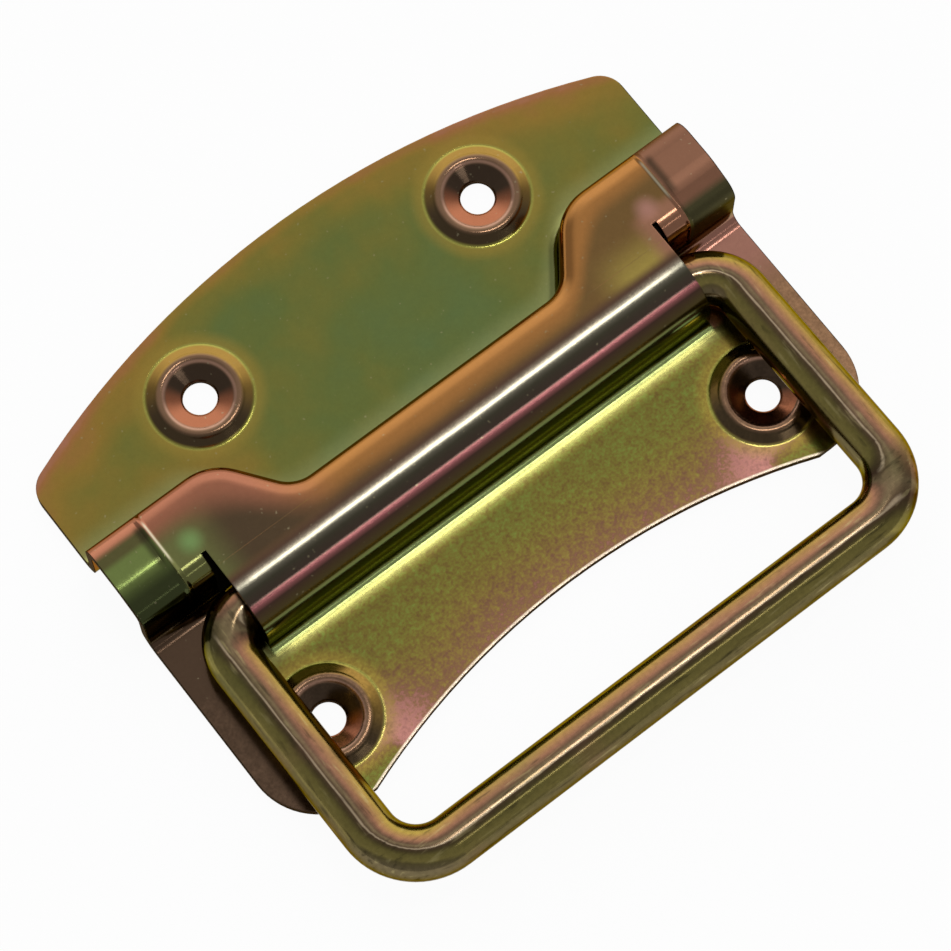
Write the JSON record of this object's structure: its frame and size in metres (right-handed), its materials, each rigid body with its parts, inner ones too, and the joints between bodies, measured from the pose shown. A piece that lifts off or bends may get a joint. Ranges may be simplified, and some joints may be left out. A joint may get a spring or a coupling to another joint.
{
  "type": "chest handle",
  "caption": "Surface-mounted chest handle: pressed steel plate with a raised tunnel and stop ears, holding a bent wire bail that swings up for lifting.",
  "frame": {"origin": "on the mounting face, midway between the two upper screw holes", "axes": "+Z out of the mounting face, +Y towards the arched top edge, +X along the hinge axis to the right"},
  "size_m": [0.102, 0.0903, 0.012],
  "materials": {
    "plate_finish": "yellow passivated zinc plating, iridescent olive, gold and pink, semi-gloss",
    "wire_finish": "yellow passivated zinc plating, iridescent, glossy"
  },
  "bodies": {
    "plate": {"back_plate": "plate_finish"},
    "handle": {"bail": "wire_finish"}
  },
  "joints": [
    {"name": "bail_hinge", "type": "hinge", "parent": "plate", "child": "handle", "pos_m": [0, -0.0294, 0.00555], "axis": [-1, 0, 0], "range_deg": [0, 100]}
  ]
}
